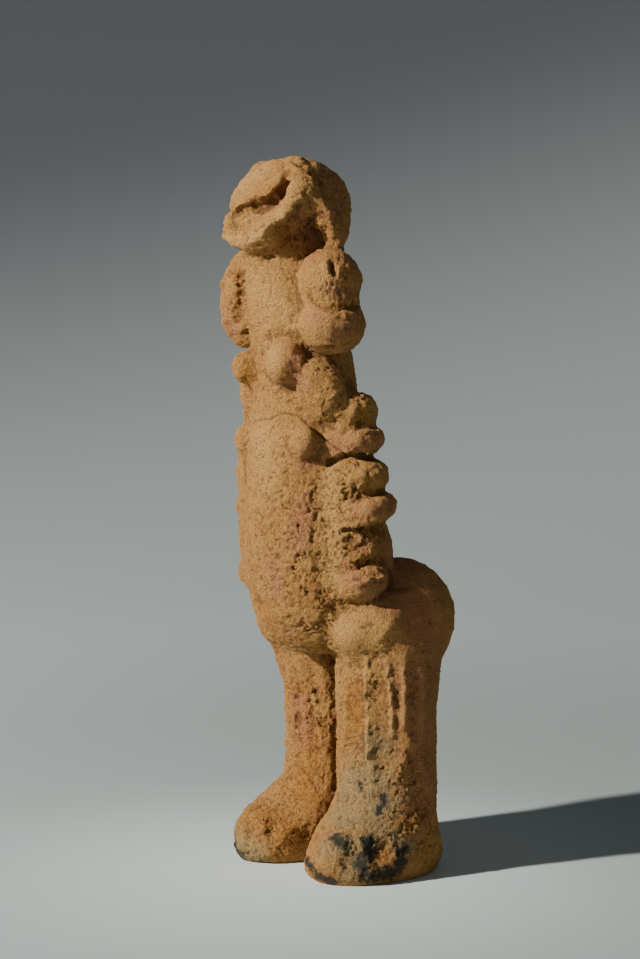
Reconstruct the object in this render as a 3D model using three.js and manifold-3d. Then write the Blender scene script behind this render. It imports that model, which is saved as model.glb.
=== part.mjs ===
// A hand-modelled standing figure of fired clay, about 245 mm tall, in millimetres.
// It faces -Y with its left side at +X, and stands on the flat soles of both feet at z = 0.
// The whole figure is one solid: its limbs, rolls and pellets were pressed together before firing.
import * as THREE from "three";
import { mergeVertices } from "three/addons/utils/BufferGeometryUtils.js";
import Module from "manifold-3d";

const wasm = await Module();
wasm.setup();

// Driving dimensions. Y is measured from the line between the two shins, and negative is forward.
const LEG_X = 20; // half the distance between the leg centres
const TRUNK_Y = -24.5; // the trunk's centre stands this far in front of the shins
const ARM = { x: 24, y: -21.5, turn: 2.2 }; // the trunk is turned, so the left arm is further back
const HEAD = { y: -29.5, z: 228.5, halfWidth: 17.5, halfDepth: 22.5, halfHeight: 15.5 };
const FACE = { x: 1, y: -42, z: 228, tilt: 33, halfWidth: 17.5, halfHeight: 15.5, depth: 15 };
const SIDES = [1, -1]; // the figure's left, then its right

const { degToRad, radToDeg, clamp } = THREE.MathUtils;

// A closed mesh with merged corners, as a solid that can be joined and cut.
function solid(geometry) {
  const bare = geometry.clone();
  bare.deleteAttribute("normal");
  bare.deleteAttribute("uv");
  const merged = mergeVertices(bare, 1e-4);
  return new wasm.Manifold(
    new wasm.Mesh({
      numProp: 3,
      vertProperties: new Float32Array(merged.attributes.position.array),
      triVerts: new Uint32Array(merged.index.array),
    }),
  );
}

// One named size of all the stations, as a smooth function of the share t of the length.
function smooth(stations, name) {
  const last = stations.length - 1;
  const points = stations.map((s, i) => new THREE.Vector2(i / last, s[name]));
  const curve = new THREE.SplineCurve(points);
  return (t) => curve.getPoint(t).y;
}

// A lump of clay that rises through its stations. Each station has its height z, its centre x and y,
// its half width, and how far it reaches in front of the centre and behind it. Both ends are flat.
// relief(angle, z) adds to the reach: the angle is in degrees from the front towards the figure's left.
function column(stations, { around = 24, along = 24, relief = () => 0 } = {}) {
  const names = ["z", "x", "y", "half", "front", "back"];
  const [z, x, y, half, front, back] = names.map((name) => smooth(stations, name));
  const geometry = new THREE.SphereGeometry(1, around, along);
  const p = geometry.attributes.position;
  const v = new THREE.Vector3();
  for (let i = 0; i < p.count; i++) {
    v.fromBufferAttribute(p, i);
    const reach = Math.hypot(v.x, v.z) < 1e-6 ? 0 : 1;
    const ring = (Math.acos(clamp(-v.y, -1, 1)) / Math.PI) * along;
    const t = clamp((ring - 1) / (along - 2), 0, 1);
    const angle = reach ? Math.atan2(v.x, v.z) : 0;
    const extra = reach * relief(radToDeg(angle), z(t));
    const depth = Math.cos(angle) > 0 ? front(t) : back(t);
    p.setXYZ(
      i,
      x(t) + Math.sin(angle) * reach * (half(t) + extra),
      y(t) - Math.cos(angle) * reach * (depth + extra),
      z(t),
    );
  }
  return solid(geometry);
}

// An ellipsoid of clay at a place, with its three half sizes, turned about X, Y and Z in degrees.
// A fullness below 1 makes its sides upright, like those of a roll of clay.
function lump(place, halves, turn = [0, 0, 0], around = 13, along = 8, fullness = 1) {
  const geometry = new THREE.SphereGeometry(1, around, along);
  geometry.rotateX(Math.PI / 2);
  const p = geometry.attributes.position;
  for (let i = 0; i < p.count; i++) {
    const reach = Math.hypot(p.getX(i), p.getY(i));
    const grown = reach < 1e-6 ? 0 : reach ** (fullness - 1);
    p.setXY(i, p.getX(i) * grown, p.getY(i) * grown);
  }
  geometry.scale(...halves);
  const rotation = new THREE.Euler(...turn.map(degToRad));
  geometry.applyMatrix4(new THREE.Matrix4().makeRotationFromEuler(rotation));
  geometry.translate(...place);
  return solid(geometry);
}

// A strap of clay laid along a smooth curve through its points.
function strap(points, radius, steps = 12) {
  const path = new THREE.CatmullRomCurve3(points.map((q) => new THREE.Vector3(...q)));
  const section = new THREE.Shape();
  section.absarc(0, 0, radius, 0, 2 * Math.PI);
  const options = { steps, curveSegments: 4, bevelEnabled: false, extrudePath: path };
  return solid(new THREE.ExtrudeGeometry(section, options));
}

// A leg with its foot, from the flat sole to the top of the thigh. Upright ridges are pinched
// into the shin; each stands at its angle from the front towards the figure's left.
function leg(side) {
  const far = side < 0;
  const thin = far ? 2 : 0;
  const y = far ? 0 : -3.5;
  const shinX = far ? LEG_X - 2.5 : LEG_X;
  const ridges = far ? [-90, -60, -30, 0, 20, 50] : [-60, -30, 0, 30, 70, 90];
  const toe = far ? 2 : 0;
  const stations = [
    { z: 0, y: -8.5, half: 15.5, front: 24.5 + toe, back: 24 },
    { z: 4, y: -8.5, half: 17.6, front: 27.5 + toe, back: 26.5 },
    { z: 9, y: -8, half: 18, front: 27.5 + toe, back: 25.5 },
    { z: 14, y: -7, half: 17.6, front: 25.5 + toe, back: 22.5 },
    { z: 19, y: -5.5, half: 17, front: 22, back: 20.5 },
    { z: 27, x: shinX, y, half: 16.8 - thin, front: 18.3 - thin, back: 17.5 - thin },
    { z: 37, x: shinX, y, half: 16.8 - thin, front: 16.8 - thin, back: 17 - thin },
    { z: 50, x: shinX, y, half: 17 - thin, front: 16.8 - thin, back: 17.2 - thin },
    { z: 64, x: shinX, y, half: 17.4 - thin, front: 17.2 - thin, back: 17.8 - thin },
    { z: 77, y: -3, half: 18, front: 18, back: 18.5 },
    { z: 88, y: -3, half: 17.5, front: 17.5, back: 18.5 },
    { z: 97, y: -3, half: 14, front: 14, back: 14 },
  ].map((s) => ({ ...s, x: side * (s.x ?? LEG_X) }));
  const relief = (angle, z) => {
    const rise = clamp(Math.min((z - 30) / 8, (74 - z) / 4), 0, 1);
    const crest = Math.max(...ridges.map((r) => 1 - Math.abs(angle - r) / 10));
    return 1.6 * rise * Math.max(crest, 0);
  };
  return column(stations, { around: 36, along: 15, relief });
}

// The thigh's round front, which overhangs the ridged shin, and the buttock behind it.
const thigh = (side) => lump([side * 19.5, -9, 85.5], [18, 18, 14.5], [10, 0, 0], 15, 8);
const buttock = (side) => lump([side * 18, 3.2, 86.5], [20, 20, 21], [0, 0, 0], 16, 9);

// The hips join the thighs, the buttocks and the trunk, and close the crotch at z = 74.
const hips = () => lump([0, -8, 91], [26, 19, 17], [0, 0, 0], 12, 7);

// The flank fills the hollow between the arm, the trunk and the buttock.
const flank = (side) => lump([side * 17.5, -14, 110], [11, 13, 22], [12, 0, 0], 10, 6);

// The trunk, from the crotch to the top of the neck.
function trunk() {
  const stations = [
    { z: 75, y: -19, half: 10, front: 9, back: 8 },
    { z: 82, y: -21, half: 17, front: 14.5, back: 14 },
    { z: 92, y: TRUNK_Y, half: 21.5, front: 16.8, back: 18 },
    { z: 106, y: TRUNK_Y, half: 22.5, front: 18.8, back: 18.5 },
    { z: 122, y: TRUNK_Y, half: 22, front: 18.8, back: 18.5 },
    { z: 136, y: TRUNK_Y, half: 21.5, front: 18.6, back: 18 },
    { z: 150, y: TRUNK_Y, half: 21, front: 18.4, back: 18 },
    { z: 160, y: TRUNK_Y + 0.5, half: 19.5, front: 18, back: 17.5 },
    { z: 170, y: TRUNK_Y + 0.5, half: 18.5, front: 17.5, back: 17.5 },
    { z: 180, y: TRUNK_Y - 1, half: 17.5, front: 17, back: 17 },
    { z: 190, y: TRUNK_Y - 4, half: 16, front: 15.5, back: 15.5 },
    { z: 200, y: TRUNK_Y - 6, half: 15, front: 14.3, back: 14.5 },
    { z: 210, y: TRUNK_Y - 6.5, half: 14.5, front: 14.5, back: 15 },
    { z: 220, y: TRUNK_Y - 6.5, half: 14, front: 15, back: 15 },
  ].map((s) => ({ ...s, x: 0 }));
  return column(stations, { around: 22, along: 17 });
}

// The shoulder's front, which slopes from the neck out to the arm.
const shoulder = (side) => lump([side * 14.5, -29, 163.5], [12, 9.4, 12.5], [12, 0, 0], 11, 6);

// An arm that is one with the trunk, with thick rolls pressed round its outer side. Its front
// is a smooth band that the rolls don't reach.
function arm(side) {
  const y = ARM.y + side * ARM.turn;
  const band = [
    { z: 93, half: 4, front: 4, back: 4 },
    { z: 100, half: 8, front: 8, back: 8 },
    { z: 125, half: 9, front: 9, back: 9 },
    { z: 145, half: 9, front: 9, back: 9 },
    { z: 157, half: 7, front: 7, back: 7 },
    { z: 163, half: 3, front: 3, back: 3 },
  ].map((s) => ({ ...s, x: side * (ARM.x - 3.5), y: y - 2.5 }));
  const rolls = [
    { z: 158, out: -3.5, back: -0.5, r: 9.6, h: 7, tilt: -3 },
    { z: 148, out: -2, back: -0.5, r: 10.6, h: 5.2, tilt: 4 },
    { z: 136, out: -1, back: 0.5, r: 10.8, h: 6.4, tilt: 2 },
    { z: 124.5, out: 0.5, back: 2, r: 11.6, h: 5.8, tilt: 12 },
    { z: 113, out: -1.5, back: 0, r: 9.5, h: 6.5, tilt: 0 },
    { z: 101.5, out: 0, back: 0.5, r: 10, h: 6.4, tilt: 3 },
  ];
  return [
    column(band, { around: 12, along: 8 }),
    ...rolls.map(({ z, out, back, r, h, tilt }) =>
      lump([side * (ARM.x + out), y + back, z], [r, r, h], [tilt, -side * tilt, 0], 12, 6, 0.6),
    ),
  ];
}

// Pellets: a breast and, lower down, a fist on each side of the belly.
const breast = (side) =>
  lump([side * 10.5, -40.3, 173.5 + side], [6.3 + side, 6.8, 7.2 + side], [-20, 0, 0], 11, 6);
const fist = (side) => lump([side * 16.2, -36.8, 148], [5.4, 4.8, 6], [0, 0, 0], 11, 6);

// What hangs beside the neck: two knobs, one over the other, on the figure's left,
// and one long lobe on its right.
const leftKnobs = () => [
  lump([22, -30.5, 201], [10.2, 11.5, 11], [0, 0, 0], 13, 8),
  lump([23, -30, 186.5], [10.7, 12, 10.2], [0, 0, 0], 13, 8),
  lump([23.2, -30.1, 193.8], [9.2, 10.4, 7], [0, 0, 0], 10, 5),
];
const rightLobe = () => lump([-21, -32, 197], [10.5, 10, 18], [0, 4, 0]);

// A place on the face: across it, up it and out of it, from its centre, in the figure's frame.
function onFace(across, up, out) {
  const [c, s] = [Math.cos(degToRad(FACE.tilt)), Math.sin(degToRad(FACE.tilt))];
  return [FACE.x + across, FACE.y + up * s - out * c, FACE.z + up * c + out * s];
}
const faceLump = (place, halves, ...rest) =>
  lump(onFace(...place), halves, [90 - FACE.tilt, 0, 0], ...rest);

// The broad plate of brow and nose that covers the upper half of the face, as points across and up
// the face. Its lower edge rises from the nose's tip to the near temple.
const PLATE = [
  [9.5, 7.5],
  [7.5, 3.6],
  [3.5, 1.2],
  [-4, -1],
  [-9.4, -3.4],
  [-13, -5.5],
  [-15.2, 0],
  [-15, 5.5],
  [-12.5, 10.5],
  [-7, 14.5],
  [1, 15.5],
  [7, 12.5],
];

function plate() {
  const outline = new THREE.Shape(PLATE.map(([across, up]) => new THREE.Vector2(across, up)));
  const options = { depth: 9, bevelThickness: 1.6, bevelSize: 1.4, bevelOffset: -1.4, bevelSegments: 1 };
  const geometry = new THREE.ExtrudeGeometry(outline, options);
  const tilt = degToRad(FACE.tilt);
  const axes = [
    new THREE.Vector3(1, 0, 0),
    new THREE.Vector3(0, Math.sin(tilt), Math.cos(tilt)),
    new THREE.Vector3(0, -Math.cos(tilt), Math.sin(tilt)),
  ];
  geometry.applyMatrix4(new THREE.Matrix4().makeBasis(...axes));
  geometry.translate(...onFace(0, 0, -6));
  return solid(geometry);
}

// The head is round behind and flat in front, where the face looks up as a disc. The plate stands
// out from it, a raised rim runs round the jaw, and the near eye is a recess between the two.
function head() {
  const skull = lump(
    [0, HEAD.y, HEAD.z],
    [HEAD.halfWidth, HEAD.halfDepth, HEAD.halfHeight],
    [0, 0, 0],
    18,
    11,
  );
  const jaw = lump([0.5, -44.5, 217.5], [12.5, 11.5, 6.5], [-8, 0, 0]);
  const hair = lump([0, -22, 222], [16.2, 13.5, 16]);
  const disc = new THREE.CylinderGeometry(1, 0.75, FACE.depth, 24, 1);
  disc.scale(FACE.halfWidth, 1, FACE.halfHeight);
  disc.rotateX(degToRad(180 - FACE.tilt));
  disc.translate(...onFace(0, 0, -FACE.depth / 2));
  const slab = new THREE.BoxGeometry(80, 40, 80);
  slab.rotateX(degToRad(180 - FACE.tilt));
  slab.translate(...onFace(0, 0, 20));
  const rim = [
    [16.2, 6],
    [15.8, 0.5],
    [13, -5.5],
    [9, -9.6],
    [2.4, -12.8],
    [-4, -14.2],
    [-9.5, -12.8],
    [-13.8, -9],
    [-16, -3],
  ].map(([across, up]) => onFace(across, up, -0.5));
  const recess = [
    faceLump([10.4, 4.6, 0.5], [4.6, 5.2, 6.2], 11, 7),
    faceLump([2.5, -1.6, 0], [8.5, 3.2, 4.6], 11, 7),
  ];
  const cheek = [
    [14.6, -1.5],
    [10.2, -6],
    [4, -9.4],
    [-2, -11.4],
  ].map(([across, up]) => onFace(across, up, -1.6));
  const cut = skull.add(jaw).subtract(solid(slab)).add(hair);
  const made = cut.add(solid(disc)).add(strap(rim, 2.2, 16)).add(strap(cheek, 3.4, 7));
  return recess.reduce((left, piece) => left.subtract(piece), made).add(plate());
}

// The lump of hair on each side of the crown, where a braid begins.
const crown = (side) => lump([side * 8.5, -34.5, 237.6], [6.2, 5.6, 5.6], [0, 0, 0], 10, 6);

// The temple, between the face's rim and the braid.
const temple = (side) => lump([side * 15.8, -36, 229], [5.2, 7, 7.2], [20, 0, 0], 10, 6);

// A braid that comes down from the crown behind the ear on each side.
function braid(side) {
  const route = [
    [7, -36, 238.5],
    [14.5, -35.5, 233.5],
    [18.5, -33, 226.5],
    [20.5, -28.5, 219.5],
    [20.6, -26.8, 211.5],
    [20, -29, 204],
  ];
  return strap(
    route.map(([x, y, z]) => [side * x, y, z]),
    3.5,
    9,
  );
}

// The clay between the legs, well back from their fronts. No light passes between the legs on
// the photograph, so a thin web joins them.
const web = () => lump([0.5, 5, 48], [6.5, 6, 47.5], [0, 0, 0], 8, 10, 0.6);

const pieces = [
  trunk(),
  ...SIDES.flatMap((side) => [
    leg(side),
    thigh(side),
    buttock(side),
    flank(side),
    ...arm(side),
    shoulder(side),
    breast(side),
    fist(side),
    crown(side),
    temple(side),
    braid(side),
  ]),
  ...leftKnobs(),
  rightLobe(),
  hips(),
  web(),
  head(),
];
const joined = pieces.reduce((made, piece) => made.add(piece));

// The figure is set over the middle of its own box, with the soles at z = 0.
const box = joined.boundingBox();
const middle = [0, 1].map((axis) => (box.min[axis] + box.max[axis]) / 2);
const whole = joined.translate([-middle[0], -middle[1], -box.min[2]]);

// The joined solid as a geometry that three.js can show.
function geometryOf(manifold) {
  const mesh = manifold.getMesh();
  const geometry = new THREE.BufferGeometry();
  geometry.setAttribute("position", new THREE.BufferAttribute(mesh.vertProperties, 3));
  geometry.setIndex(new THREE.BufferAttribute(mesh.triVerts, 1));
  geometry.computeVertexNormals();
  return geometry;
}

const figure = new THREE.Group();
const clay = new THREE.MeshStandardMaterial({ color: 0xb58a5c, roughness: 0.95, metalness: 0 });
const body = new THREE.Mesh(geometryOf(whole), clay);
body.name = "figure";
figure.add(body);

export default figure;
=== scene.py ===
from math import cos, pi, radians, sin

import bmesh
import bpy
import numpy as np
from bpy.props import FloatProperty, FloatVectorProperty, IntProperty, PointerProperty
from mathutils import Euler, Matrix, Vector, noise


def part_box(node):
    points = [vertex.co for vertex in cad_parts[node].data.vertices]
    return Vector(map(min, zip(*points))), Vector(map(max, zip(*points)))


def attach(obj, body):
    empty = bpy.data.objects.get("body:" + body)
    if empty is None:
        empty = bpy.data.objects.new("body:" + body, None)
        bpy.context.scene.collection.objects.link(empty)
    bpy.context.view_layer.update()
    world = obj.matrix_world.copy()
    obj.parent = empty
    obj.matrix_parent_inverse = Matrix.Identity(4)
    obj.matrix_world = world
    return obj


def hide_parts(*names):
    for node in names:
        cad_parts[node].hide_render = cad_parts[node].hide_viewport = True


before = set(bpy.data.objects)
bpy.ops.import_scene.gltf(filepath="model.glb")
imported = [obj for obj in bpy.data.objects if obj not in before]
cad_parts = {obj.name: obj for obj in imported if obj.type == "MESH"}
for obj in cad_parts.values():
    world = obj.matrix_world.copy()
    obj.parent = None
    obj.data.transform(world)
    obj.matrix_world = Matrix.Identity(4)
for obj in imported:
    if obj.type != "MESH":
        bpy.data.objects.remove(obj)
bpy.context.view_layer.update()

bl_info = {
    "name": "Terracotta figure",
    "version": (1, 0, 0),
    "blender": (4, 5, 0),
    "location": "3D View > Sidebar > Terracotta",
    "description": "Sculpts the skin of a hand-modelled clay figure on its solid, and sets up a studio",
    "category": "Object",
}

MM = 0.001
NODE = "figure"
PIECE = "terracotta_figure"
LOW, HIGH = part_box(NODE)

# The photograph's width and height in pixels. A place on the figure is given as the pixel where it shows.
PHOTO = (640, 959)

# The width of the camera's frame in millimetres.
SENSOR = 36

# The hand at the end of the arm, added to the solid before it is sculpted: its place and half sizes
# in millimetres, and its turn in degrees, in the frame of the part.
HAND = ((24.6, -5.6, 99.5), (9.0, 8.6, 5.2), (6, -14, 20))

# How often the solid's facets are evened out, and how much less so on the small forms.
CALM_ROUNDS = 26
CALM_HELD_BACK = 0.75

# Where the small forms start, and over how far they fade in, in millimetres: the head upwards, and the
# rolls of the arms outwards and upwards.
HEAD_START, HEAD_FADE = 206, 6
ARM_ASIDE, ARM_ASIDE_FADE = 24, 3
ARM_START, ARM_START_FADE = 92, 4

# The soles stay flat: below this height the evening fades out over this far, in millimetres.
SOLE_HEIGHT, SOLE_FADE = 3, 2

# How far a mark reaches, as a multiple of the half width or radius that is given for it.
LUMP_REACH = 1.25
RIDGE_REACH = 1.2
SPOT_REACH = 1.4
STAIN_REACH = 1.7

# How wide the marks in the clay are, in millimetres.
WIDE_DENT = 13
SMALL_DENT = 5.5
CRUMB = 2.5
CRUMB_WARP = 2.2
CRUMB_PATCH = 4
SMALL_CRUMB = 2.4
GRAIN = 1.7
FINE_GRAIN = 1.0
PIT = 1.5
BEAD = 2.6

# A crease's width as a share of a crumb's, where the noise of the pits starts a pit, and how much
# higher it makes the deepest one.
CREASE = 0.45
PIT_START, PIT_SPAN = 0.54, 0.3

# The marks' noise is fixed by this number. Zero would draw a new one each run.
NOISE_SEED = 7

# How crumbly clay is where nothing else is said, and the least and most that it can be.
ROUGH = 0.60
LEAST_ROUGH, MOST_ROUGH = 0.12, 1.5

# The feet are more uneven than the rest: from this height down, in full this much lower, in millimetres.
FOOT_HEIGHT, FOOT_FADE = 32, 10

# Above the floor, the marks fade in over this height in millimetres, so that the figure rests flat.
REST_FADE = 2.5

# A crack's half width and depth in millimetres.
CRACK_WIDTH, CRACK_DEPTH = 0.8, 1.3

# Worn edges, and painted shade in the hollows: the height over or under an evened copy of the skin that
# counts in full, in millimetres, and how often the copy is evened.
WEAR_HEIGHT = 0.22
WEAR_ROUNDS = 7

# Grooves, pressed in along a line: the line's places, its half width and its depth in millimetres.
GROOVES = {
    "gap under the second roll": (((327, 463), (340, 458), (355, 456.5), (379, 456)), 1.7, 3.6),
    "between the first rolls": (((342, 432), (352, 429), (366, 429), (379, 428)), 1.3, 1.2),
    "between the third and fourth roll": (((345, 494), (356, 497), (370, 495), (388, 490)), 1.4, 1.2),
    "slit under the fourth roll": (((343, 531), (357, 530.5), (368, 527)), 1.1, 2.6),
    "hole above the hand": (((359, 566), (364, 565), (370, 562)), 1.3, 2.4),
    "belly and thigh": (((321, 594), (328, 604), (337, 616)), 2.2, 0.9),
    "knobs": (((306, 293), (311, 301), (320, 306), (334, 309), (350, 308), (365, 305)), 1.9, 1.2),
    "edge of the knobs": (((304, 262), (302, 280), (303, 294)), 1.4, 0.7),
    "arm and belly": (((314, 486), (316, 510), (314, 540), (316, 560), (320, 588)), 2.6, 0.7),
    "slit in the upper knob": (((332, 262), (333, 267), (335, 274)), 1.3, 2.8),
    "hole under the lower knob": (((326, 348), (331, 348.5), (335, 348)), 1.2, 2.6),
    "hole by the lobe": (((243, 336), (248, 333)), 1.3, 3.0),
    "slit under the chin": (((258, 261), (266, 260), (274, 257)), 1.1, 2.2),
    "crown": (((294, 160), (299, 164), (305, 166)), 1.7, 2.6),
    "beside the crown's lump": (((320, 170), (319, 178), (321, 188)), 1.6, 1.0),
    "between the legs": (((334, 655), (335, 700), (336, 760), (336, 800)), 1.6, 1.0),
    "hollow of the lobe": (((241, 275), (241, 290), (238, 305), (237, 320)), 3.6, 2.0),
    "round the breast": (((262, 372), (272, 382), (288, 391), (300, 388)), 1.3, 0.7),
}

# Ridges, pinched up along a line: the line's places, its half width and its height in millimetres.
RIDGES = {
    "jaw": (
        ((222, 233), (232, 240), (245, 240), (256, 236), (267, 229), (281, 218), (291, 207), (298, 197)),
        2.4, 1.2),
    "near edge of the nose": (
        ((264, 164), (275, 168), (281, 175), (279, 184), (272, 191), (261, 196), (247, 202), (236, 207)),
        1.8, 0.7),
    "shin, front": (((344, 668), (346, 690), (346, 722), (345, 752)), 1.2, 1.1),
    "shin, beaded": (((366, 663), (367, 690), (367, 715), (368, 742), (369, 762)), 1.25, 1.4),
    "shin, side": (((387, 662), (390, 690), (392, 715), (392, 738)), 1.3, 1.4),
    "shin, back": (((403, 670), (404, 690), (404, 726)), 1.2, 1.0),
    "far shin": (((312, 690), (316, 708), (320, 728), (322, 744)), 1.3, 1.3),
    "far shin, edge": (((289, 668), (294, 700), (296, 735)), 1.5, 0.8),
    "upper edge of the second roll": (((350, 431), (366, 431), (382, 431)), 1.3, 0.7),
    "lower edge of the second roll": (((345, 452), (360, 451), (378, 452)), 1.3, 0.8),
    "lower edge of the fourth roll": (((346, 526), (362, 524), (378, 519), (392, 512)), 1.4, 1.1),
    "lower edge of the hand": (((352, 586), (366, 581), (382, 576)), 1.4, 1.4),
    "ledge at the throat": (((262, 333), (272, 328), (285, 326), (306, 328)), 1.6, 0.6),
    "rim of the lobe": (((235, 262), (223, 280), (219, 298), (223, 316), (229, 336)), 1.7, 0.9),
}

# Lumps and hollows: a place, a radius and a height in millimetres. A hollow's height is below zero.
LUMPS = {
    "hollow beside the nose": ((285, 194), 4.4, -2.0),
    "lower hollow beside the nose": ((272, 203), 3.4, -1.0),
    "chin": ((254, 250), 5.5, 1.8),
    "under the jaw": ((274, 241), 5.5, 1.8),
    "hollow behind the jaw": ((306, 233), 5.0, -0.7),
    "pellet in the ear": ((321, 226), 2.4, 1.6),
    "lump on the crown": ((314, 167), 2.8, 1.4),
    "broken side of the breast": ((294, 369), 3.6, -1.2),
    "underside of the first roll": ((366, 418), 4.4, -1.3),
    "chest beside the breast": ((305, 372), 6.5, 2.4),
    "trunk beside the fist": ((326, 445), 5.0, 1.6),
    "crumbled wrist": ((360, 546), 5.0, -1.8),
    "lump on the wrist": ((361, 538), 2.6, 1.2),
    "lower lump on the wrist": ((357, 557), 2.8, 1.2),
    "top of the knee": ((368, 606), 5.5, 1.6),
    "side of the knee": ((386, 622), 5.0, 1.0),
    "middle of the knee": ((352, 640), 7.0, 1.0),
    "front of the knee": ((343, 631), 6.5, 1.6),
    "hollow in the knee": ((376, 628), 3.6, -0.9),
    "patch on the calf": ((411, 744), 3.6, 1.1),
    "crust on the calf": ((398, 768), 4.8, 1.0),
    "crust on the ankle": ((416, 828), 6.0, 0.9),
    "hollow over the far instep": ((262, 801), 6.0, -3.2),
    "hollow at the far hip": ((257, 605), 4.6, -1.6),
    "front of the far shin": ((291, 682), 5.0, 1.2),
    "step of the far foot": ((262, 816), 5.5, 2.2),
    "lump on the far foot": ((284, 834), 4.6, 1.9),
    "hollow of the far foot": ((272, 832), 3.4, -1.8),
    "dent in the far foot": ((250, 832), 3.8, -1.0),
    "toe of the near foot": ((328, 864), 5.5, 1.6),
    "instep of the near foot": ((340, 841), 4.4, 1.8),
    "hollow of the near foot": ((352, 858), 4.4, -1.6),
    "broken patch of the near foot": ((379, 850), 4.8, -1.8),
    "heel of the near foot": ((438, 846), 6.0, 1.2),
    "hollow over the heel": ((426, 806), 6.0, -0.9),
}

# A thin crack in the clay, from the chest to the deep gap in the arm.
CRACK = (
    (254, 421), (262, 419), (270, 419), (276, 415), (284, 413), (296, 415),
    (305, 421), (314, 430), (322, 436), (333, 446), (347, 456),
)
NECK_CRACK = ((269, 274), (271, 284), (270, 295))

# Crumbling clay: a place, a radius in millimetres and how much rougher it is than the rest.
CRUMBLY = {
    "wrist": ((360, 547), 8.0, 0.8),
    "under the third roll": ((350, 497), 5.0, 0.8),
    "between the knobs": ((338, 308), 4.0, 0.6),
    "lobe": ((240, 290), 7.0, 0.8),
    "belly": ((298, 530), 17.0, 0.65),
    "lower belly": ((297, 606), 15.0, 0.25),
    "groin": ((330, 612), 8.0, 0.1),
    "far shin": ((310, 712), 12.0, 0.6),
    "far ankle": ((300, 775), 12.0, 0.05),
    "far instep": ((262, 828), 12.0, 0.6),
    "ear": ((320, 226), 4.0, 1.0),
    "first roll": ((345, 404), 8.0, 0.3),
    "third roll": ((345, 476), 7.0, 0.5),
    "calf": ((400, 775), 9.0, 0.6),
    "ankle": ((415, 828), 9.0, 0.5),
    "mouth": ((245, 222), 6.0, 0.7),
    "near foot": ((372, 862), 11.0, 0.4),
}

# Smooth clay: a place, a radius in millimetres and how much calmer it is than the rest.
SMOOTH = {
    "nose": ((252, 184), 9.0, 0.25),
    "jaw": ((250, 244), 5.0, 0.3),
    "neck": ((275, 300), 11.0, 0.10),
    "arm's band": ((332, 500), 6.0, 0.3),
    "arm's lower band": ((335, 560), 6.0, 0.3),
    "knee": ((352, 640), 7.0, 0.4),
    "thigh": ((420, 620), 16.0, 0.4),
    "knobs": ((322, 330), 8.0, 0.3),
    "breast": ((281, 356), 5.0, 0.4),
    "calf's side": ((424, 720), 12.0, 0.4),
    "fourth roll": ((372, 512), 6.0, 0.4),
    "flank": ((390, 560), 7.0, 0.4),
}

# Colours laid on the clay along a line: the line's places, and its half width in millimetres.
# Blue-black fire clouding.
SOOT = {
    "near foot": (((368, 842), (371, 848), (366, 856), (363, 864), (367, 874), (380, 877), (392, 873)), 3.3),
    "near foot, right edge": (((392, 873), (401, 864), (402, 850)), 2.8),
    "instep": (((334, 837), (343, 841)), 2.8),
    "toe": (((306, 861), (310, 866)), 2.0),
    "toe's edge": (((318, 877), (332, 882)), 2.6),
    "far toe": (((232, 842), (237, 852), (244, 860)), 3.8),
    "far toe's edge": (((252, 862), (266, 863)), 1.6),
    "ankle": (((383, 796), (384, 804)), 1.7),
    "under the ankle spot": (((379, 808), (378, 813)), 1.2),
    "shin": (((360, 785), (361, 790)), 1.3),
}
# Grey-green film.
TINT = {
    "shin": (((352, 786), (374, 778), (382, 800), (366, 818)), 9.0),
    "ankle": (((338, 812), (356, 822), (374, 828)), 6.0),
    "heel": (((392, 838), (410, 846)), 4.0),
    "near foot": (((330, 846), (350, 850), (352, 872)), 6.5),
    "upper shin": (((372, 742), (384, 748)), 4.5),
    "far toe": (((236, 840), (246, 852), (256, 856)), 6.0),
}
# Pink, freshly broken or rubbed clay, and a redder painted shade on the shadow side.
PINK_AND_PAINTED_SHADE = {
    "second roll": (((330, 446), (350, 446), (380, 440)), 3.8),
    "fourth roll": (((360, 512), (392, 506)), 3.2),
    "breast": (((294, 362), (298, 382)), 3.6),
    "fist": (((308, 446), (308, 460)), 3.6),
    "upper knob": (((334, 290), (346, 292)), 3.2),
    "lower knob": (((314, 316), (324, 322)), 3.4),
    "lower knob's underside": (((330, 334), (348, 332), (356, 326)), 4.0),
    "hand": (((354, 574), (366, 590), (380, 584)), 3.8),
    "cheek": (((300, 212), (306, 216)), 3.0),
    "braid": (((328, 208), (334, 216)), 2.6),
    "beside the nose": (((270, 206), (284, 196)), 2.8),
    "belly": (((302, 500), (298, 545)), 3.4),
    "lower belly": (((272, 560), (276, 590)), 3.0),
    "calf": (((404, 672), (406, 724)), 2.4),
    "wrist": (((362, 538), (366, 548)), 2.8),
    "lobe": (((229, 322), (232, 330)), 2.6),
    "far shin": (((300, 700), (302, 740)), 4.0),
    # Painted shade: the strokes below tint the shadow side of the calf, thigh, head, jaw hollow and flank
    # redder.
    "back of the calf": (((418, 680), (424, 740), (424, 800)), 9.0),
    "thigh": (((404, 590), (424, 610), (432, 640)), 11.0),
    "back of the head": (((334, 176), (342, 196), (340, 214)), 6.0),
    "hollow behind the jaw": (((300, 234), (312, 240)), 4.0),
    "flank": (((392, 545), (400, 572)), 6.0),
}
# Clear orange brown clay.
AMBER = {
    "far breast": (((236, 364), (246, 374)), 5.0),
    "far shin": (((300, 700), (306, 740), (308, 790)), 7.0),
    "far foot": (((244, 824), (262, 816), (286, 832)), 7.0),
    "near foot": (((344, 868), (352, 880)), 5.0),
    "broken patch": (((379, 848), (381, 856)), 3.0),
    "calf": (((396, 760), (400, 790), (416, 826)), 5.0),
    "hip": (((262, 604), (276, 636)), 4.0),
    "shin": (((356, 690), (358, 740)), 4.0),
    "breast": (((284, 372), (292, 380)), 2.4),
}
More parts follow.
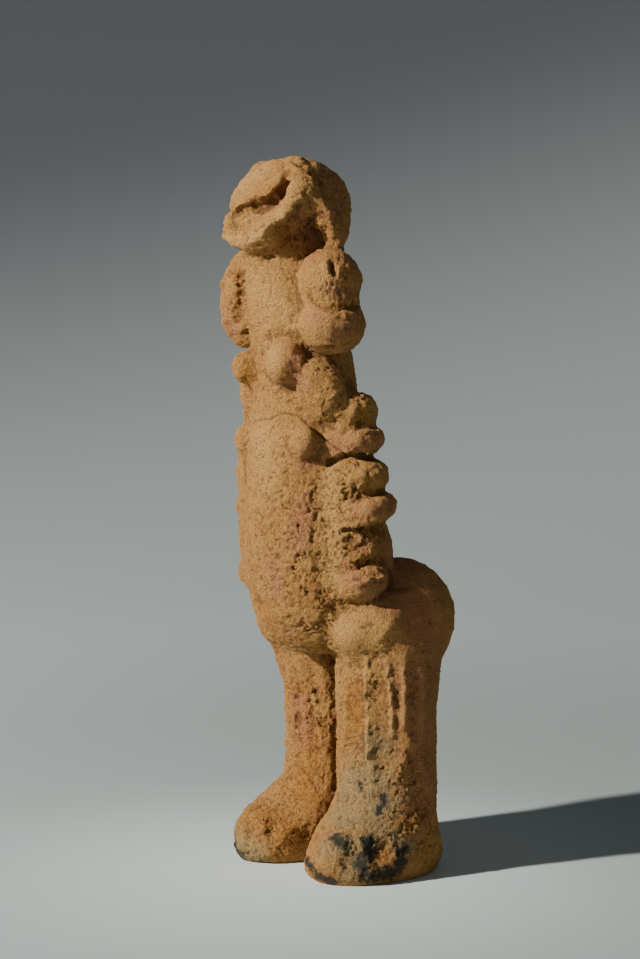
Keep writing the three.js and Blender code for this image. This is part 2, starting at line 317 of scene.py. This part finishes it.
# Pale crust of earth.
CRUST = {
    "brow": (((244, 182), (262, 172)), 4.5),
    "jaw": (((226, 238), (244, 242), (268, 228), (292, 204)), 3.0),
    "neck": (((262, 285), (275, 310), (290, 318)), 7.0),
    "breast": (((268, 346), (274, 362)), 3.8),
    "chest": (((262, 440), (266, 480)), 8.0),
    "arm's band": (((330, 470), (332, 520), (334, 580)), 3.6),
    "knee": (((350, 628), (366, 642)), 7.0),
    "beaded ridge": (((367, 664), (369, 715), (370, 760)), 1.6),
    "side ridge": (((389, 664), (392, 700), (393, 736)), 1.5),
    "far ridge": (((315, 696), (319, 716)), 1.4),
    "crown": (((314, 166), (318, 170)), 2.2),
    "upper knob": (((322, 272), (326, 284)), 3.6),
}


class Skin:
    """The figure's mesh as arrays, while code moves its points as a sculptor's hand would."""

    def __init__(self, piece):
        self.piece = piece
        mesh = piece.data
        self.co = np.empty(len(mesh.vertices) * 3)
        mesh.vertices.foreach_get("co", self.co)
        self.co = self.co.reshape(-1, 3)
        ends = np.empty(len(mesh.edges) * 2, dtype=np.int64)
        mesh.edges.foreach_get("vertices", ends)
        self.ends = ends.reshape(-1, 2)
        self.count = len(mesh.vertices)
        self.valence = np.bincount(ends, minlength=self.count)[:, None]
        self.store()

    def store(self):
        """Writes the points back to the mesh, and reads its new normals."""
        mesh = self.piece.data
        mesh.vertices.foreach_set("co", self.co.ravel())
        mesh.update()
        normals = np.empty(self.count * 3)
        mesh.vertices.foreach_get("normal", normals)
        self.normals = normals.reshape(-1, 3)

    def around(self, values):
        """The mean of some values over each point's neighbours."""
        a, b = self.ends.T
        total = np.empty_like(values)
        for axis in range(values.shape[1]):
            column = values[:, axis]
            total[:, axis] = np.bincount(a, column[b], self.count) + np.bincount(b, column[a], self.count)
        return total / self.valence

    def calm(self, rounds, share=0.5, weight=1.0):
        """Evens the surface out, as a wet finger does."""
        for _ in range(rounds):
            self.co += share * weight * (self.around(self.co) - self.co)

    def reach(self, path, width):
        """The points within a width of a path, and how far from it they are as a share of the width."""
        near = ((self.co > path.min(0) - width) & (self.co < path.max(0) + width)).all(1)
        index = np.nonzero(near)[0]
        gap = np.linalg.norm(self.co[index, None, :] - path[None, :, :], axis=2).min(1) / width
        inside = gap < 1
        return index[inside], gap[inside]

    def press(self, path, width, height, edge=2.0, beads=0.0):
        """Raises the surface along a path, or presses it in where the height is below zero.

        The higher the edge, the broader the mark's middle is. Beads make its height uneven.
        """
        index, gap = self.reach(path, width)
        fall = (1 - gap ** edge) ** 2
        if beads:
            share = [noise.noise(Vector(place) / MM / BEAD) for place in self.co[index]]
            fall *= np.clip(1 + beads * np.array(share), 0.1, 2)
        self.co[index] += self.normals[index] * (height * fall)[:, None]

    def mask(self, strokes):
        """How much each point lies under any of the strokes, from 0 to 1."""
        found = np.zeros(self.count)
        for path, width in strokes:
            index, gap = self.reach(path, width * STAIN_REACH)
            found[index] = np.maximum(found[index], 1 - gap)
        return found


class Photo:
    """Finds where a place in the photograph falls on a piece, through the scene's camera."""

    def __init__(self, piece):
        self.piece = piece
        camera = bpy.context.scene.camera
        self.eye = camera.location.copy()
        self.turn = camera.rotation_euler.to_matrix()
        self.focal = camera.data.lens / camera.data.sensor_width * max(PHOTO)

    def spot(self, u, v):
        """The point on the piece that shows at this pixel, or None."""
        ray = Vector(((u - PHOTO[0] / 2) / self.focal, (PHOTO[1] / 2 - v) / self.focal, -1))
        hit, place, _, _ = self.piece.ray_cast(self.eye, (self.turn @ ray).normalized())
        return place if hit else None

    def line(self, places):
        """The points on the piece along a line drawn through several pixels, about a pixel apart."""
        points = []
        for (u0, v0), (u1, v1) in zip(places, places[1:]):
            count = max(2, int(np.hypot(u1 - u0, v1 - v0)))
            for share in np.linspace(0, 1, count, endpoint=False):
                points.append(self.spot(u0 + (u1 - u0) * share, v0 + (v1 - v0) * share))
        points.append(self.spot(*places[-1]))
        found = [p for p in points if p is not None]
        if not found:
            raise ValueError(f"the figure doesn't show anywhere along {places}")
        return np.array(found)


def remeshed(piece, voxel):
    """Joins all of a piece's shells into one even skin."""
    modifier = piece.modifiers.new("skin", "REMESH")
    modifier.mode = "VOXEL"
    modifier.voxel_size = voxel
    modifier.adaptivity = 0
    bake(piece)


def bake(piece):
    """Applies a piece's modifiers to its mesh."""
    shaped = piece.evaluated_get(bpy.context.evaluated_depsgraph_get())
    made = bpy.data.meshes.new_from_object(shaped)
    old = piece.data
    piece.modifiers.clear()
    piece.data = made
    bpy.data.meshes.remove(old)
    made.name = piece.name


def drop_loose(piece):
    """Removes what isn't joined to the largest shell, such as a grain left in a hollow."""
    bm = bmesh.new()
    bm.from_mesh(piece.data)
    unseen = set(bm.verts)
    shells = []
    while unseen:
        first = unseen.pop()
        shell, queue = [first], [first]
        while queue:
            for edge in queue.pop().link_edges:
                for vert in edge.verts:
                    if vert in unseen:
                        unseen.remove(vert)
                        shell.append(vert)
                        queue.append(vert)
        shells.append(shell)
    shells.sort(key=len)
    for shell in shells[:-1]:
        bmesh.ops.delete(bm, geom=shell, context="VERTS")
    bm.to_mesh(piece.data)
    bm.free()


def add_lump(bm, place, halves, turn):
    """Adds a smooth ellipsoid of clay, in millimetres and degrees, to a mesh."""
    rotation = Euler([radians(a) for a in turn]).to_matrix().to_4x4()
    size = Matrix.Diagonal((*[h * MM for h in halves], 1))
    matrix = Matrix.Translation(Vector(place) * MM) @ rotation @ size
    bmesh.ops.create_uvsphere(bm, u_segments=32, v_segments=20, radius=1, matrix=matrix)


def clay_marks(p):
    """The dent, crumb, grain and pit at a place in millimetres, as shares of their depths."""
    dent = noise.noise(p / WIDE_DENT) + 0.45 * noise.noise(p / SMALL_DENT)
    bend = noise.noise_vector(p / CRUMB_WARP) * 0.9
    near, next_near = noise.voronoi(p / CRUMB + bend)[0][:2]
    crease = min(1, (next_near - near) / CREASE)
    patch = noise.noise(p / CRUMB_PATCH)
    crumb = (crease - 0.8) * (0.8 + 0.9 * patch) + 0.35 * noise.noise(p / SMALL_CRUMB)
    grain = noise.noise(p / GRAIN) + 0.7 * noise.noise(p / FINE_GRAIN)
    pit = noise.noise(p / PIT + 1.2 * bend) + 0.4 * patch
    return dent, crumb, grain, pit


class TERRACOTTA_PG_clay(bpy.types.PropertyGroup):
    """Sizes of the sculpted skin and colours of the clay."""

    voxel: FloatProperty(
        name="Skin cell", description="Edge of a cell of the sculpted skin",
        default=0.62 * MM, unit="LENGTH", precision=5)
    limit: IntProperty(
        name="Triangles", description="The most triangles that the finished skin has", default=196000)
    hand: FloatProperty(
        name="Unevenness", description="Depth of the slow dents that the maker's hands left",
        default=0.50 * MM, unit="LENGTH", precision=5)
    crumbs: FloatProperty(
        name="Crumbs", description="Height of the crumbs in the clay, with creases between them",
        default=0.70 * MM, unit="LENGTH", precision=5)
    grain: FloatProperty(
        name="Grain", description="Depth of the smallest grains that the skin shows",
        default=0.24 * MM, unit="LENGTH", precision=5)
    pits: FloatProperty(
        name="Pits", description="Depth of the holes that grit left in the clay",
        default=0.60 * MM, unit="LENGTH", precision=5)
    ochre: FloatVectorProperty(
        name="Ochre", description="The clay's main colour", subtype="COLOR", size=3,
        default=(0.46, 0.218, 0.056))
    orange: FloatVectorProperty(
        name="Orange", description="Where the clay fired redder", subtype="COLOR", size=3,
        default=(0.42, 0.178, 0.043))
    amber: FloatVectorProperty(
        name="Amber", description="Where the clay is a clear orange brown", subtype="COLOR", size=3,
        default=(0.41, 0.158, 0.025))
    # The pink also serves as the redder painted shade on the shadow side.
    pink: FloatVectorProperty(
        name="Pink", description="Where the clay is freshly broken or rubbed", subtype="COLOR", size=3,
        default=(0.42, 0.163, 0.074))
    cream: FloatVectorProperty(
        name="Cream", description="The pale crust of earth on the clay", subtype="COLOR", size=3,
        default=(0.56, 0.305, 0.090))
    # The brown darkens random flecks and specks, and is laid in the hollows as painted shade.
    brown: FloatVectorProperty(
        name="Brown", description="The clay inside pits and cracks", subtype="COLOR", size=3,
        default=(0.12, 0.052, 0.018))
    soot: FloatVectorProperty(
        name="Soot", description="Blue-black fire clouding on the feet", subtype="COLOR", size=3,
        default=(0.020, 0.020, 0.0155))
    moss: FloatVectorProperty(
        name="Grey-green", description="The grey-green film on the shin", subtype="COLOR", size=3,
        default=(0.27, 0.215, 0.100))


class TERRACOTTA_PG_studio(bpy.types.PropertyGroup):
    """The camera, the lights and the floor."""

    azimuth: FloatProperty(
        name="Azimuth", description="The camera's way round from the figure's front to its left",
        default=radians(52), subtype="ANGLE")
    pitch: FloatProperty(
        name="Pitch", description="How far the camera looks down", default=radians(2.7), subtype="ANGLE")
    distance: FloatProperty(
        name="Distance", description="From the camera to the shins, along the floor",
        default=0.665, unit="LENGTH")
    height: FloatProperty(
        name="Height", description="The camera's height over the floor", default=0.165, unit="LENGTH")
    shins: FloatVectorProperty(
        name="Shins", description="The middle of the line between the shins", size=3,
        default=(-0.0004, 0.01406, 0), subtype="TRANSLATION")
    aside: FloatProperty(
        name="Aside", description="How far the camera stands to the left of the shins",
        default=0.0133, unit="LENGTH")
    lens: FloatProperty(
        name="Lens", description="The focal length in millimetres, on a 36 mm frame", default=71.3)
    key_bearing: FloatProperty(
        name="Key bearing", description="The key light's way round from the camera's left",
        default=radians(27), subtype="ANGLE")
    key_elevation: FloatProperty(
        name="Key elevation", description="The key light's height as an angle",
        default=radians(28), subtype="ANGLE")
    key_power: FloatProperty(
        name="Key power", description="Power of the key light", default=44, unit="POWER")
    key_distance: FloatProperty(
        name="Key distance", description="From the key light to the figure", default=1.4, unit="LENGTH")
    key_size: FloatProperty(
        name="Key size", description="Width of the key light", default=0.075, unit="LENGTH")
    ambient: FloatProperty(name="Ambient", description="Strength of the light from all round", default=0.16)
    ambient_colour: FloatVectorProperty(
        name="Ambient colour", description="Colour of the light from all round, a little cool",
        subtype="COLOR", size=3, default=(0.88, 0.95, 1.15))
    floor: FloatVectorProperty(
        name="Floor", description="The pale floor", subtype="COLOR", size=3, default=(0.605, 0.665, 0.605))
    # Painted shade: the floor darkens behind the figure as the light falls off.
    far_floor_shade: FloatVectorProperty(
        name="Far floor", description="The darker floor behind the figure", subtype="COLOR", size=3,
        default=(0.345, 0.38, 0.35))
    lower_wall: FloatVectorProperty(
        name="Lower wall", description="The backdrop where it starts to rise", subtype="COLOR", size=3,
        default=(0.47, 0.515, 0.475))
    # Painted shade: the backdrop darkens higher up and towards the left as the light falls off.
    upper_wall_shade: FloatVectorProperty(
        name="Upper wall", description="The darker backdrop higher up", subtype="COLOR", size=3,
        default=(0.158, 0.163, 0.170))


def clay_settings():
    """The skin's sizes and the clay's colours, as the panel shows them."""
    return bpy.context.scene.terracotta_clay


def studio_settings():
    """The camera, lights and floor, as the panel shows them."""
    return bpy.context.scene.terracotta_studio


class TERRACOTTA_OT_camera(bpy.types.Operator):
    """Sets the camera where the photographer's stood"""

    bl_idname = "terracotta.camera"
    bl_label = "Camera"

    def execute(self, context):
        s = studio_settings()
        ahead = Vector((-sin(s.azimuth), cos(s.azimuth), 0))
        right = Vector((cos(s.azimuth), sin(s.azimuth), 0))
        data = bpy.data.cameras.new("photo_camera")
        data.lens = s.lens
        data.sensor_width = SENSOR
        data.clip_start = 0.01
        camera = bpy.data.objects.new("photo_camera", data)
        context.collection.objects.link(camera)
        place = Vector(s.shins) - ahead * s.distance - right * s.aside
        place.z = s.height
        camera.location = place
        camera.rotation_euler = (pi / 2 - s.pitch, 0, s.azimuth)
        context.scene.camera = camera
        context.view_layer.update()
        return {"FINISHED"}


class TERRACOTTA_OT_form(bpy.types.Operator):
    """Makes one even clay skin from the solid and the small forms laid on it"""

    bl_idname = "terracotta.form"
    bl_label = "Form"

    def execute(self, context):
        s = clay_settings()
        bm = bmesh.new()
        bm.from_mesh(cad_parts[NODE].data)
        bmesh.ops.remove_doubles(bm, verts=bm.verts, dist=1e-6)
        add_lump(bm, *HAND)
        mesh = bpy.data.meshes.new(PIECE)
        bm.to_mesh(mesh)
        bm.free()
        piece = bpy.data.objects.new(PIECE, mesh)
        context.collection.objects.link(piece)
        remeshed(piece, s.voxel)
        skin = Skin(piece)
        height = skin.co[:, 2] / MM
        aside = np.abs(skin.co[:, 0]) / MM
        head = np.clip((height - HEAD_START) / HEAD_FADE, 0, 1)
        beside = np.clip((aside - ARM_ASIDE) / ARM_ASIDE_FADE, 0, 1)
        above = np.clip((height - ARM_START) / ARM_START_FADE, 0, 1)
        small = np.maximum(head, beside * above)
        sole = np.clip((SOLE_HEIGHT - height) / SOLE_FADE, 0, 1)
        skin.calm(CALM_ROUNDS, weight=(1 - CALM_HELD_BACK * small)[:, None] * (1 - sole)[:, None])
        skin.store()
        return {"FINISHED"}


class TERRACOTTA_OT_relief(bpy.types.Operator):
    """Presses and pinches the grooves, ridges, lumps and hollows into the skin"""

    bl_idname = "terracotta.relief"
    bl_label = "Relief"

    def execute(self, context):
        s = clay_settings()
        piece = bpy.data.objects[PIECE]
        photo = Photo(piece)
        lumps = {name: photo.line([place]) for name, (place, _, _) in LUMPS.items()}
        grooves = {name: photo.line(places) for name, (places, _, _) in GROOVES.items()}
        ridges = {name: photo.line(places) for name, (places, _, _) in RIDGES.items()}
        skin = Skin(piece)
        for name, (_, radius, height) in LUMPS.items():
            skin.press(lumps[name], radius * MM * LUMP_REACH, height * MM)
        skin.store()
        for name, (_, width, height) in RIDGES.items():
            skin.press(ridges[name], width * MM * RIDGE_REACH, height * MM, edge=1.6, beads=1.6)
        skin.store()
        for name, (_, width, depth) in GROOVES.items():
            skin.press(grooves[name], width * MM, -depth * MM, edge=1.4)
        skin.store()
        remeshed(piece, s.voxel)
        drop_loose(piece)
        return {"FINISHED"}


class TERRACOTTA_OT_skin(bpy.types.Operator):
    """Roughens the skin with the maker's dents, grains, pits and cracks"""

    bl_idname = "terracotta.skin"
    bl_label = "Skin"

    def execute(self, context):
        s = clay_settings()
        piece = bpy.data.objects[PIECE]
        photo = Photo(piece)
        cracks = [photo.line(CRACK), photo.line(NECK_CRACK)]
        crumbly = [(photo.line([place]), radius, much) for place, radius, much in CRUMBLY.values()]
        smooth = [(photo.line([place]), radius, much) for place, radius, much in SMOOTH.values()]
        skin = Skin(piece)
        skin.calm(2)
        skin.store()
        rough = np.full(skin.count, ROUGH)
        for spots, sign in ((crumbly, 1), (smooth, -1)):
            for path, radius, much in spots:
                index, gap = skin.reach(path, radius * MM * SPOT_REACH)
                rough[index] += sign * much * (1 - gap ** 2)
        rough = np.clip(rough, LEAST_ROUGH, MOST_ROUGH)
        noise.seed_set(NOISE_SEED)
        marks = np.array([clay_marks(Vector(place) / MM) for place in skin.co])
        dents, crumbs, grain, pits = marks.T
        pits = np.clip(pits - PIT_START + 0.10 * (rough - 0.55), 0, PIT_SPAN) / PIT_SPAN
        height = skin.co[:, 2] / MM
        off_floor = np.clip(height / REST_FADE, 0, 1)
        foot = np.clip((FOOT_HEIGHT - height) / FOOT_FADE, 0, 1)
        move = s.hand * (1 + foot) * dents + s.crumbs * rough * crumbs
        move += s.grain * (0.3 + rough) * grain - s.pits * (0.4 + rough) * pits
        skin.co += skin.normals * (move * off_floor)[:, None]
        for path in cracks:
            skin.press(path, CRACK_WIDTH * MM, -CRACK_DEPTH * MM, edge=1.2)
        skin.co[:, 2] = np.maximum(skin.co[:, 2], 0)
        skin.store()
        triangles = sum(len(p.vertices) - 2 for p in piece.data.polygons)
        if triangles > s.limit:
            modifier = piece.modifiers.new("fewer", "DECIMATE")
            modifier.ratio = s.limit / triangles
            modifier.use_collapse_triangulate = True
            bake(piece)
        return {"FINISHED"}


class NodeTree:
    """Adds nodes to a tree, and links them as it goes."""

    def __init__(self, tree):
        self.tree = tree
        self.tree.nodes.clear()

    def add(self, kind, inputs=None, **values):
        """A node with its settings. An input is a plain value or another node's socket."""
        node = self.tree.nodes.new(kind)
        for name, value in values.items():
            setattr(node, name, value)
        for name, value in (inputs or {}).items():
            socket = node.inputs[name]
            if isinstance(value, bpy.types.NodeSocket):
                self.tree.links.new(value, socket)
            else:
                socket.default_value = value
        return node

    def noise(self, place, scale, detail, roughness=0.6):
        """A noise, about 0.3 to 0.7."""
        made = self.add(
            "ShaderNodeTexNoise",
            {"Vector": place, "Scale": scale, "Detail": detail, "Roughness": roughness})
        return made.outputs["Fac"]

    def ramp(self, value, start, end):
        """Goes smoothly from 0 where the value is at the start, to 1 where it is at the end."""
        made = self.add(
            "ShaderNodeMapRange", {"Value": value, "From Min": start, "From Max": end},
            interpolation_type="SMOOTHSTEP")
        return made.outputs["Result"]

    def math(self, operation, a, b):
        """A sum, difference, product or quotient of two values."""
        return self.add("ShaderNodeMath", {0: a, 1: b}, operation=operation).outputs[0]

    def scaled(self, value, by):
        """A value times a plain number."""
        return self.math("MULTIPLY", value, by)

    def mix(self, share, a, b):
        """The colour a, with a share of the colour b laid over it."""
        made = self.add("ShaderNodeMix", data_type="RGBA")
        for socket, value in ((made.inputs[0], share), (made.inputs[6], a), (made.inputs[7], b)):
            if isinstance(value, bpy.types.NodeSocket):
                self.tree.links.new(value, socket)
            elif isinstance(value, (int, float)):
                socket.default_value = value
            else:
                socket.default_value = (*value, 1)
        return made.outputs[2]

    def attribute(self, name):
        """A value that the mesh stores for each of its points."""
        return self.add("ShaderNodeAttribute", attribute_name=name).outputs["Fac"]


def broken_edge_group():
    """A node group that breaks a painted mask up into the ragged edge of a stain."""
    group = bpy.data.node_groups.new("broken_edge", "ShaderNodeTree")
    for name, kind in (("Mask", "NodeSocketFloat"), ("Place", "NodeSocketVector"),
                       ("Scale", "NodeSocketFloat"), ("Breakup", "NodeSocketFloat"),
                       ("Edge", "NodeSocketFloat")):
        group.interface.new_socket(name=name, in_out="INPUT", socket_type=kind)
    group.interface.new_socket(name="Mask", in_out="OUTPUT", socket_type="NodeSocketFloat")
    tree = NodeTree(group)
    given = tree.add("NodeGroupInput").outputs
    speckle = tree.add(
        "ShaderNodeTexNoise",
        {"Vector": given["Place"], "Scale": given["Scale"], "Detail": 5.0, "Roughness": 0.65})
    centred = tree.math("SUBTRACT", speckle.outputs["Fac"], 0.5)
    push = tree.math("MULTIPLY", centred, given["Breakup"])
    raised = tree.math("ADD", given["Mask"], push)
    above = tree.math("SUBTRACT", raised, 0.5)
    sharp = tree.math("DIVIDE", above, given["Edge"])
    share = tree.add("ShaderNodeMath", {0: sharp, 1: 0.5}, operation="ADD", use_clamp=True)
    tree.add("NodeGroupOutput", {"Mask": share.outputs[0]})
    return group


def clay_material():
    """Fired clay: mottled ochre with redder parts, pale crust, brown flecks, film and soot, with painted
    shade in its hollows and a redder painted shade on its shadow side.
    """
    s = clay_settings()
    material = bpy.data.materials.new("fired_clay")
    material.use_nodes = True
    tree = NodeTree(material.node_tree)
    place = tree.add("ShaderNodeTexCoord").outputs["Object"]
    broken = broken_edge_group()

    def stain(name, scale, breakup, edge):
        """A painted mask with a ragged edge."""
        node = tree.add("ShaderNodeGroup", node_tree=broken)
        for socket, value in (("Scale", scale), ("Breakup", breakup), ("Edge", edge)):
            node.inputs[socket].default_value = value
        tree.tree.links.new(tree.attribute(name), node.inputs["Mask"])
        tree.tree.links.new(place, node.inputs["Place"])
        return node.outputs["Mask"]

    cloud = tree.ramp(tree.noise(place, scale=55, detail=3), start=0.42, end=0.64)
    patch = tree.ramp(tree.noise(place, scale=170, detail=4), start=0.54, end=0.72)
    fleck = tree.ramp(tree.noise(place, scale=620, detail=3), start=0.46, end=0.62)
    amber = stain("amber", scale=300, breakup=1.4, edge=0.8)
    crust = stain("crust", scale=420, breakup=1.4, edge=0.8)
    blush = stain("blush", scale=380, breakup=1.5, edge=0.8)
    film = stain("tint", scale=300, breakup=1.6, edge=0.7)
    colour = tree.mix(cloud, s.ochre, s.orange)
    colour = tree.mix(amber, colour, s.amber)
    colour = tree.mix(tree.scaled(patch, by=0.45), colour, s.pink)
    colour = tree.mix(tree.scaled(fleck, by=0.35), colour, s.cream)
    colour = tree.mix(tree.scaled(crust, by=0.8), colour, s.cream)
    colour = tree.mix(tree.scaled(blush, by=0.75), colour, s.pink)
    colour = tree.mix(tree.scaled(film, by=0.7), colour, s.moss)

    fine = tree.noise(place, scale=1250, detail=6, roughness=0.75)
    dark_fleck = tree.ramp(fine, start=0.47, end=0.36)
    speck = tree.ramp(tree.noise(place, scale=1900, detail=2), start=0.64, end=0.74)
    cavity = tree.ramp(tree.attribute("cavity"), start=0.2, end=1.0)
    edge = tree.ramp(tree.attribute("edge"), start=0.4, end=1.0)
    soot = stain("soot", scale=420, breakup=1.9, edge=0.4)
    colour = tree.mix(tree.scaled(dark_fleck, by=0.5), colour, s.brown)
    colour = tree.mix(tree.scaled(speck, by=0.6), colour, s.brown)
    # Painted shade: the hollows, pits and cracks darken towards brown.
    colour = tree.mix(tree.scaled(cavity, by=0.6), colour, s.brown)
    colour = tree.mix(tree.scaled(edge, by=0.35), colour, s.cream)
    colour = tree.mix(tree.scaled(soot, by=0.93), colour, s.soot)

    small_pits = tree.ramp(tree.noise(place, scale=1300, detail=2), start=0.36, end=0.30)
    grains = tree.add("ShaderNodeTexVoronoi", {"Vector": place, "Scale": 1150.0}).outputs["Distance"]
    pitted = tree.math("SUBTRACT", fine, tree.scaled(small_pits, by=0.3))
    relief = tree.math("ADD", tree.scaled(grains, by=-0.35), pitted)
    bump = tree.add("ShaderNodeBump", {"Height": relief, "Strength": 1.0, "Distance": 0.0016})
    rough = tree.math("SUBTRACT", 0.96, tree.scaled(soot, by=0.28))
    shader = tree.add(
        "ShaderNodeBsdfPrincipled",
        {"Base Color": colour, "Roughness": rough, "Normal": bump.outputs["Normal"]})
    shader.inputs["Specular IOR Level"].default_value = 0.25
    tree.add("ShaderNodeOutputMaterial", {"Surface": shader.outputs[0]})
    return material


class TERRACOTTA_OT_finish(bpy.types.Operator):
    """Paints the stains and the painted shade, lays the clay material on, attaches the figure to its root
    and hides the solid
    """

    bl_idname = "terracotta.finish"
    bl_label = "Finish"

    def execute(self, context):
        piece = bpy.data.objects[PIECE]
        photo = Photo(piece)
        skin = Skin(piece)
        for name, strokes in (
                ("soot", SOOT), ("tint", TINT), ("blush", PINK_AND_PAINTED_SHADE), ("amber", AMBER), ("crust", CRUST)):
            drawn = [(photo.line(places), width * MM) for places, width in strokes.values()]
            self.keep(piece, name, skin.mask(drawn))
        level = skin.co.copy()
        for _ in range(WEAR_ROUNDS):
            level += 0.6 * (skin.around(level) - level)
        # Painted shade goes into the hollows below the evened copy; the raised edges get a paler wear.
        hollow = ((level - skin.co) * skin.normals).sum(1) / (WEAR_HEIGHT * MM)
        self.keep(piece, "cavity", np.clip(hollow, 0, 1))
        self.keep(piece, "edge", np.clip(-hollow, 0, 1))
        for polygon in piece.data.polygons:
            polygon.use_smooth = True
        piece.data.materials.append(clay_material())
        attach(piece, "root")
        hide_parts(NODE)
        return {"FINISHED"}

    def keep(self, piece, name, values):
        """Stores a value for each point of the piece."""
        attribute = piece.data.attributes.new(name, "FLOAT", "POINT")
        attribute.data.foreach_set("value", values.astype(np.float32))


def sweep_material():
    """The floor's pale grey, darker away from the figure, up the wall behind and towards the left, as a
    painted falloff of the light. Its ramps are in metres.
    """
    s = studio_settings()
    material = bpy.data.materials.new("studio_sweep")
    material.use_nodes = True
    tree = NodeTree(material.node_tree)
    place = tree.add("ShaderNodeTexCoord").outputs["Object"]
    away = tree.add("ShaderNodeVectorMath", {0: place}, operation="LENGTH").outputs["Value"]
    height = tree.add("ShaderNodeSeparateXYZ", {0: place}).outputs["Z"]
    colour = tree.mix(tree.ramp(away, start=-0.02, end=0.17), s.floor, s.far_floor_shade)
    colour = tree.mix(tree.ramp(away, start=0.22, end=0.62), colour, s.lower_wall)
    # Painted shade: the wall's darkening starts lower towards the camera's left.
    left = (-cos(s.azimuth), -sin(s.azimuth), 0)
    aside = tree.add("ShaderNodeVectorMath", {0: place, 1: left}, operation="DOT_PRODUCT").outputs["Value"]
    raised = tree.math("ADD", height, tree.scaled(aside, by=0.28))
    colour = tree.mix(tree.ramp(raised, start=-0.02, end=0.56), colour, s.upper_wall_shade)
    shader = tree.add("ShaderNodeBsdfPrincipled", {"Base Color": colour})
    shader.inputs["Roughness"].default_value = 0.9
    shader.inputs["Specular IOR Level"].default_value = 0.1
    tree.add("ShaderNodeOutputMaterial", {"Surface": shader.outputs[0]})
    return material


class TERRACOTTA_OT_studio(bpy.types.Operator):
    """Lays the floor with its round backdrop, and sets up the lights"""

    bl_idname = "terracotta.studio"
    bl_label = "Studio"

    def execute(self, context):
        s = studio_settings()
        self.sweep(context, radius=1.9, bend=1.45, wall=0.6)
        ahead = Vector((-sin(s.azimuth), cos(s.azimuth), 0))
        left = Vector((-cos(s.azimuth), -sin(s.azimuth), 0))
        level = left * cos(s.key_bearing) - ahead * sin(s.key_bearing)
        toward = level * cos(s.key_elevation) + Vector((0, 0, sin(s.key_elevation)))
        middle = Vector((0, 0, (LOW.z + HIGH.z) / 2))
        key = bpy.data.lights.new("key_light", "AREA")
        key.shape = "DISK"
        key.size = s.key_size
        key.energy = s.key_power
        lamp = bpy.data.objects.new("key_light", key)
        lamp.location = middle + toward * s.key_distance
        lamp.rotation_euler = toward.to_track_quat("Z", "Y").to_euler()
        context.collection.objects.link(lamp)
        world = bpy.data.worlds.new("studio_world")
        world.use_nodes = True
        background = world.node_tree.nodes["Background"]
        background.inputs["Color"].default_value = (*s.ambient_colour, 1)
        background.inputs["Strength"].default_value = s.ambient
        context.scene.world = world
        return {"FINISHED"}

    def sweep(self, context, radius, bend, wall):
        """A round floor that curves up into a wall, made by spinning its section."""
        bm = bmesh.new()
        turns = [radians(a) for a in range(0, 91, 9)]
        section = [(0, 0)] + [(radius - bend + bend * sin(a), bend - bend * cos(a)) for a in turns]
        section.append((radius, bend + wall))
        verts = [bm.verts.new((x, 0, z)) for x, z in section]
        edges = [bm.edges.new(pair) for pair in zip(verts, verts[1:])]
        bmesh.ops.spin(
            bm, geom=verts + edges, cent=(0, 0, 0), axis=(0, 0, 1), angle=2 * pi,
            steps=96, use_merge=True)
        bmesh.ops.remove_doubles(bm, verts=bm.verts, dist=1e-5)
        bmesh.ops.recalc_face_normals(bm, faces=bm.faces)
        floor_face = min(bm.faces, key=lambda f: f.calc_center_median().length)
        if floor_face.normal.z < 0:
            bmesh.ops.reverse_faces(bm, faces=bm.faces)
        mesh = bpy.data.meshes.new("studio_sweep")
        bm.to_mesh(mesh)
        bm.free()
        for polygon in mesh.polygons:
            polygon.use_smooth = True
        mesh.materials.append(sweep_material())
        floor = bpy.data.objects.new("studio_sweep", mesh)
        context.collection.objects.link(floor)


class TERRACOTTA_PT_panel(bpy.types.Panel):
    """Lists the steps and the values of the terracotta figure"""

    bl_idname = "TERRACOTTA_PT_panel"
    bl_label = "Terracotta figure"
    bl_space_type = "VIEW_3D"
    bl_region_type = "UI"
    bl_category = "Terracotta"

    def draw(self, context):
        for step in STEPS:
            self.layout.operator(step.bl_idname)
        for settings in (context.scene.terracotta_clay, context.scene.terracotta_studio):
            box = self.layout.box()
            for name in settings.bl_rna.properties.keys():
                if name not in ("rna_type", "name"):
                    box.prop(settings, name)


STEPS = (
    TERRACOTTA_OT_camera,
    TERRACOTTA_OT_form,
    TERRACOTTA_OT_relief,
    TERRACOTTA_OT_skin,
    TERRACOTTA_OT_finish,
    TERRACOTTA_OT_studio,
)
CLASSES = (TERRACOTTA_PG_clay, TERRACOTTA_PG_studio, *STEPS, TERRACOTTA_PT_panel)


def register():
    for cls in CLASSES:
        bpy.utils.register_class(cls)
    bpy.types.Scene.terracotta_clay = PointerProperty(type=TERRACOTTA_PG_clay)
    bpy.types.Scene.terracotta_studio = PointerProperty(type=TERRACOTTA_PG_studio)


def unregister():
    del bpy.types.Scene.terracotta_studio
    del bpy.types.Scene.terracotta_clay
    for cls in reversed(CLASSES):
        bpy.utils.unregister_class(cls)


def main():
    register()
    bpy.ops.terracotta.camera()
    bpy.ops.terracotta.form()
    bpy.ops.terracotta.relief()
    bpy.ops.terracotta.skin()
    bpy.ops.terracotta.finish()
    bpy.ops.terracotta.studio()


if __name__ == "__main__":
    main()
